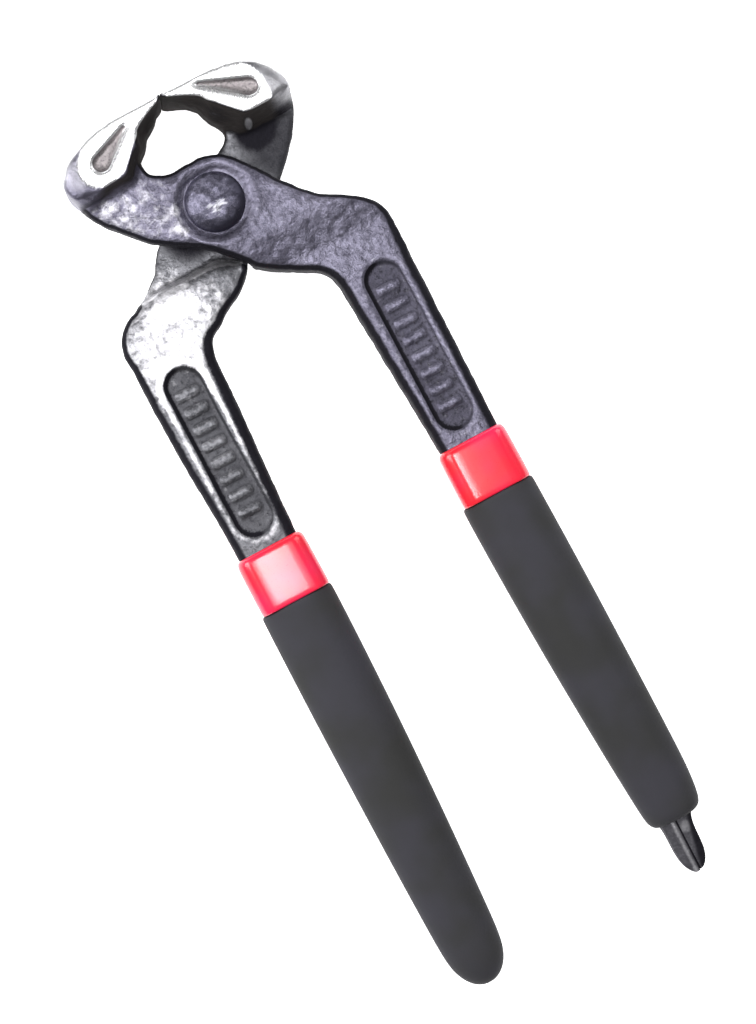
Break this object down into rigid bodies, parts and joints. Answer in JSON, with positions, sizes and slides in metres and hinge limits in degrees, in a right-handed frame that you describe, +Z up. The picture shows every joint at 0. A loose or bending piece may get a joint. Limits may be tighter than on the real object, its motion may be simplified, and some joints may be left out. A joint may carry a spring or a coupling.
{
  "type": "carpenter's pincers",
  "caption": "Forged carpenter's pincers with a riveted lap joint, wide end-cutting jaws, sleeved handles and a split nail claw on one handle.",
  "frame": {"origin": "middle of the tool's outline, on the plane that it lies on", "axes": "+Y along the tool towards the jaws, +Z up along the pivot axis, +X towards the handle with the claw"},
  "size_m": [0.0662, 0.2, 0.022],
  "materials": {
    "front_forging": "shot-blasted forging with ground jaw faces",
    "rear_forging": "shot-blasted forging with ground jaw faces",
    "rivet_steel": "hammered steel",
    "collar_plastic": "glossy red",
    "grip_plastic": "matt black dipped plastic"
  },
  "bodies": {
    "front": {"front_lever": "front_forging", "pivot_rivet": "rivet_steel", "front_collar": "collar_plastic", "front_grip": "grip_plastic"},
    "rear": {"rear_lever": "rear_forging", "rear_collar": "collar_plastic", "rear_grip": "grip_plastic"}
  },
  "joints": [
    {"name": "pivot", "type": "hinge", "parent": "front", "child": "rear", "pos_m": [0, 0.075, 0.011], "axis": [0, 0, -1], "range_deg": [0, 40]}
  ]
}
